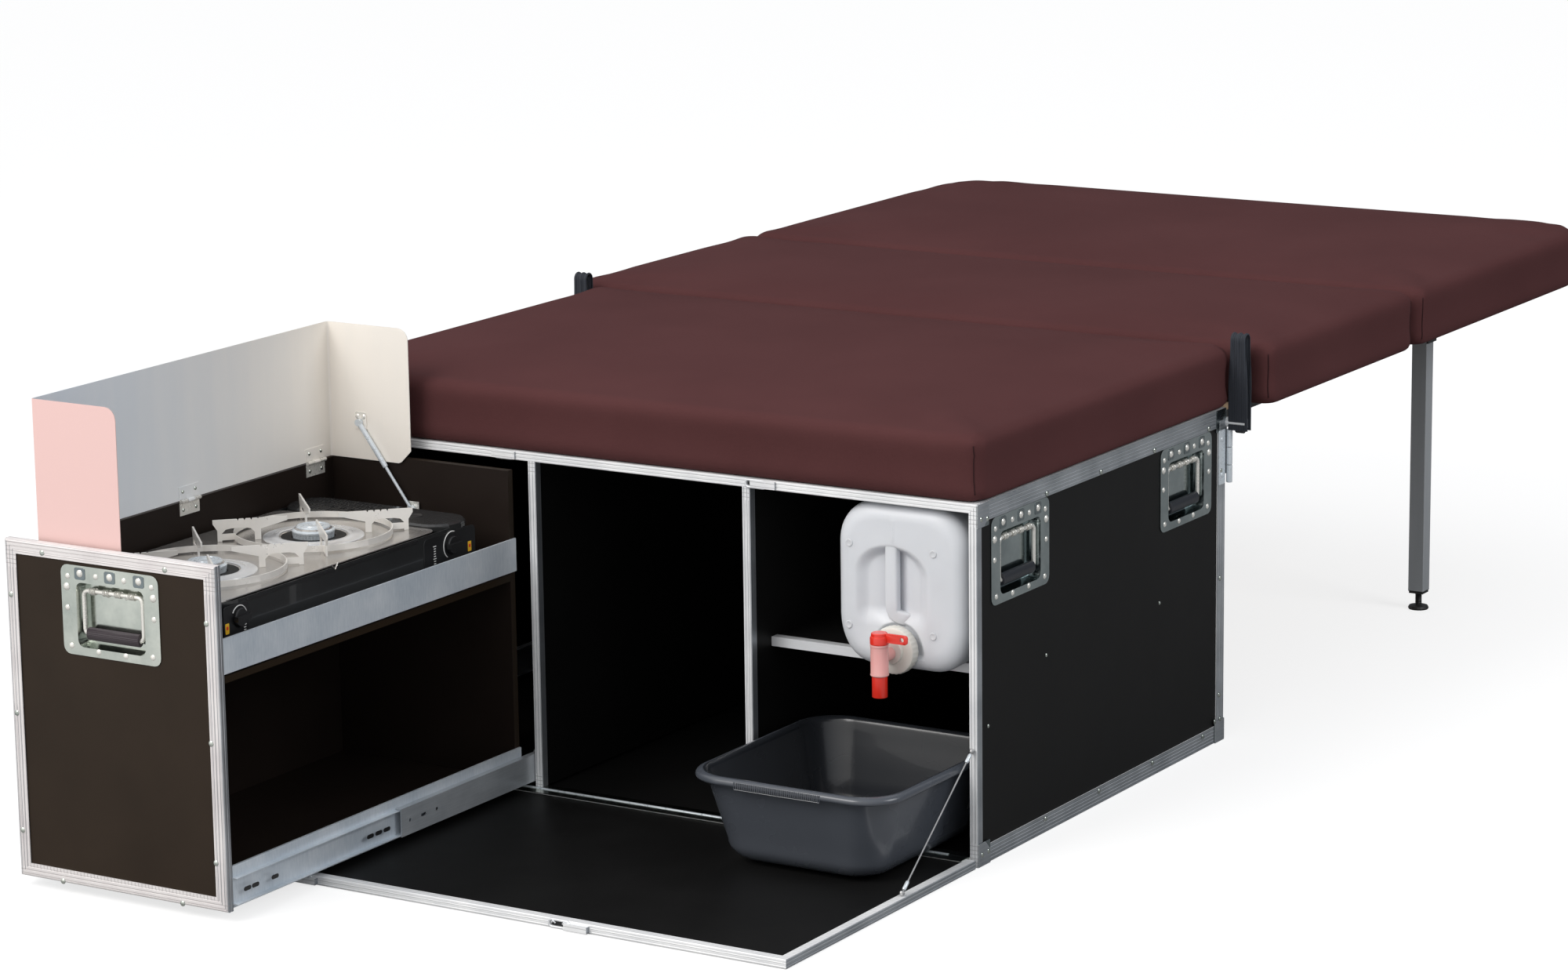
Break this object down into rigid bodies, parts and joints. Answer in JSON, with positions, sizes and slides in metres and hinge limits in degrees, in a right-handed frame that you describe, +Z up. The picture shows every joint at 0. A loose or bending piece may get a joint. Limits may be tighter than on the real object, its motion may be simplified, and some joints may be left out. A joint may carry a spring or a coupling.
{
  "type": "van camping box",
  "caption": "Camping box for a van, set up: pulled-out kitchen drawer with stove and windscreen, open flap, bowl, water canister on its shelf, and a fold-out bed with mattress on legs.",
  "frame": {"origin": "middle of the box's footprint, on the floor it stands on", "axes": "+X to the right seen from the front, +Y from the front to the rear along the bed, +Z up"},
  "size_m": [1.3, 2.89, 0.7051],
  "materials": {
    "film_plywood": "phenolic film with fine wire-mesh sheen",
    "edge_aluminium": "satin anodised with fine grooves",
    "slide_steel": "zinc plated",
    "dish_steel": "zinc plated",
    "bail_steel": "zinc plated, with a rubber grip",
    "screen_aluminium": "satin",
    "stove_enamel": "gloss enamel",
    "stove_plate": "polished stainless",
    "support_steel": "polished",
    "knob_plastic": "moulded",
    "can_plastic": "natural polyethylene",
    "tap_plastic": "tinted",
    "tap_red": "moulded",
    "bowl_plastic": "moulded",
    "hinge_steel": "zinc plated",
    "bed_steel": "powder coated",
    "birch_board": "bare birch plywood",
    "leg_aluminium": "anodised, with a plastic plug and foot",
    "cloth": "woven cover",
    "webbing": "ribbed webbing",
    "cable_steel": "stranded"
  },
  "bodies": {
    "box": {"box_floor": "film_plywood", "box_left": "film_plywood", "box_rear": "film_plywood", "box_right": "film_plywood", "box_top": "film_plywood", "divider_left": "film_plywood", "divider_right": "film_plywood", "canister_shelf": "film_plywood", "edge_frame": "edge_aluminium", "right_front_dish": "dish_steel", "right_rear_dish": "dish_steel", "left_front_dish": "dish_steel", "left_rear_dish": "dish_steel", "flap_panel": "film_plywood", "flap_frame": "edge_aluminium", "piano_hinge": "hinge_steel", "flap_cable": "cable_steel", "slide_outer_left": "slide_steel", "slide_outer_right": "slide_steel", "bed_frame": "bed_steel", "bed_board": "birch_board", "mattress_front": "cloth", "mattress_middle": "cloth", "mattress_rear": "cloth", "strap": "webbing"},
    "drawer": {"drawer_front": "film_plywood", "drawer_front_frame": "edge_aluminium", "drawer_handle_dish": "dish_steel", "drawer_left": "film_plywood", "drawer_rear": "film_plywood", "drawer_floor": "film_plywood", "stove_shelf": "film_plywood", "side_bar": "edge_aluminium", "left_runner": "slide_steel", "right_runner": "slide_steel", "front_screen_hinge": "hinge_steel", "rear_screen_hinge": "hinge_steel", "stay_bracket": "hinge_steel", "stove_body": "stove_enamel", "stove_top": "stove_plate", "front_pan_support": "support_steel", "rear_pan_support": "support_steel"},
    "slide_middles": {"slide_middle_left": "slide_steel", "slide_middle_right": "slide_steel"},
    "screen": {"windscreen": "screen_aluminium"},
    "stay_lower": {"stay_rod": "hinge_steel"},
    "stay_upper": {"stay_tube": "hinge_steel"},
    "drawer_pull": {"drawer_handle": "bail_steel"},
    "right_front_pull": {"right_front_handle": "bail_steel"},
    "right_rear_pull": {"right_rear_handle": "bail_steel"},
    "left_front_pull": {"left_front_handle": "bail_steel"},
    "left_rear_pull": {"left_rear_handle": "bail_steel"},
    "front_gas_knob": {"front_knob": "knob_plastic"},
    "rear_gas_knob": {"rear_knob": "knob_plastic"},
    "water_canister": {"canister": "can_plastic", "tap_body": "tap_plastic"},
    "water_lever": {"tap_lever": "tap_red"},
    "washing_bowl": {"bowl": "bowl_plastic"},
    "right_bed_leg": {"right_leg": "leg_aluminium"},
    "left_bed_leg": {"left_leg": "leg_aluminium"}
  },
  "joints": [
    {"name": "drawer_slide", "type": "slide", "parent": "box", "child": "drawer", "axis": [0, 1, 0], "range_m": [0, 0.015]},
    {"name": "slide_middle", "type": "slide", "parent": "box", "child": "slide_middles", "axis": [0, 1, 0], "range_m": [0, 0.0075]},
    {"name": "windscreen_fold", "type": "hinge", "parent": "drawer", "child": "screen", "pos_m": [-0.5124, -0.769, 0.4973], "axis": [0, 1, 0], "range_deg": [0, 90]},
    {"name": "stay_swivel", "type": "hinge", "parent": "drawer", "child": "stay_lower", "pos_m": [-0.3649, -0.4338, 0.4318], "axis": [0, 1, 0], "range_deg": [-46.1, 0]},
    {"name": "stay_runner", "type": "slide", "parent": "stay_lower", "child": "stay_upper", "axis": [-0.6, 0, 0.8], "range_m": [-0.0654, 0]},
    {"name": "drawer_handle_swing", "type": "hinge", "parent": "drawer", "child": "drawer_pull", "pos_m": [-0.3746, -1.1175, 0.445], "axis": [-1, 0, 0], "range_deg": [0, 90], "stiffness_Nm_per_rad": 0.15},
    {"name": "right_front_handle_swing", "type": "hinge", "parent": "box", "child": "right_front_pull", "pos_m": [0.5775, -0.266, 0.4655], "axis": [0, -1, 0], "range_deg": [0, 90], "stiffness_Nm_per_rad": 0.15},
    {"name": "right_rear_handle_swing", "type": "hinge", "parent": "box", "child": "right_rear_pull", "pos_m": [0.5775, 0.26, 0.4655], "axis": [0, -1, 0], "range_deg": [0, 90], "stiffness_Nm_per_rad": 0.15},
    {"name": "left_front_handle_swing", "type": "hinge", "parent": "box", "child": "left_front_pull", "pos_m": [-0.5775, -0.266, 0.4655], "axis": [0, 1, 0], "range_deg": [0, 90], "stiffness_Nm_per_rad": 0.15},
    {"name": "left_rear_handle_swing", "type": "hinge", "parent": "box", "child": "left_rear_pull", "pos_m": [-0.5775, 0.26, 0.4655], "axis": [0, 1, 0], "range_deg": [0, 90], "stiffness_Nm_per_rad": 0.15},
    {"name": "front_knob_turn", "type": "hinge", "parent": "drawer", "child": "front_gas_knob", "pos_m": [-0.2105, -1.049, 0.4173], "axis": [1, 0, 0], "range_deg": [0, 90]},
    {"name": "rear_knob_turn", "type": "hinge", "parent": "drawer", "child": "rear_gas_knob", "pos_m": [-0.2105, -0.548, 0.4173], "axis": [1, 0, 0], "range_deg": [0, 90]},
    {"name": "canister_slide", "type": "slide", "parent": "box", "child": "water_canister", "axis": [0, 1, 0], "range_m": [-0.09, 0.045]},
    {"name": "tap_lever_turn", "type": "hinge", "parent": "water_canister", "child": "water_lever", "pos_m": [0.452, -0.44, 0.3234], "axis": [0, 0, 1], "range_deg": [-90, 0]},
    {"name": "bowl_slide", "type": "slide", "parent": "box", "child": "washing_bowl", "axis": [0, 1, 0], "range_m": [-0.25, 0.25]},
    {"name": "right_leg_fold", "type": "hinge", "parent": "box", "child": "right_bed_leg", "pos_m": [0.505, 1.3246, 0.483], "axis": [-1, 0, 0], "range_deg": [0, 90]},
    {"name": "left_leg_fold", "type": "hinge", "parent": "box", "child": "left_bed_leg", "pos_m": [-0.505, 1.3246, 0.483], "axis": [-1, 0, 0], "range_deg": [0, 90]}
  ],
  "couplings": [
    {"joint": "slide_middle", "follows": "drawer_slide", "ratio": 0.5},
    {"joint": "stay_swivel", "follows": "windscreen_fold", "ratio": -0.512},
    {"joint": "stay_runner", "follows": "windscreen_fold", "m_per_rad": -0.04158}
  ]
}
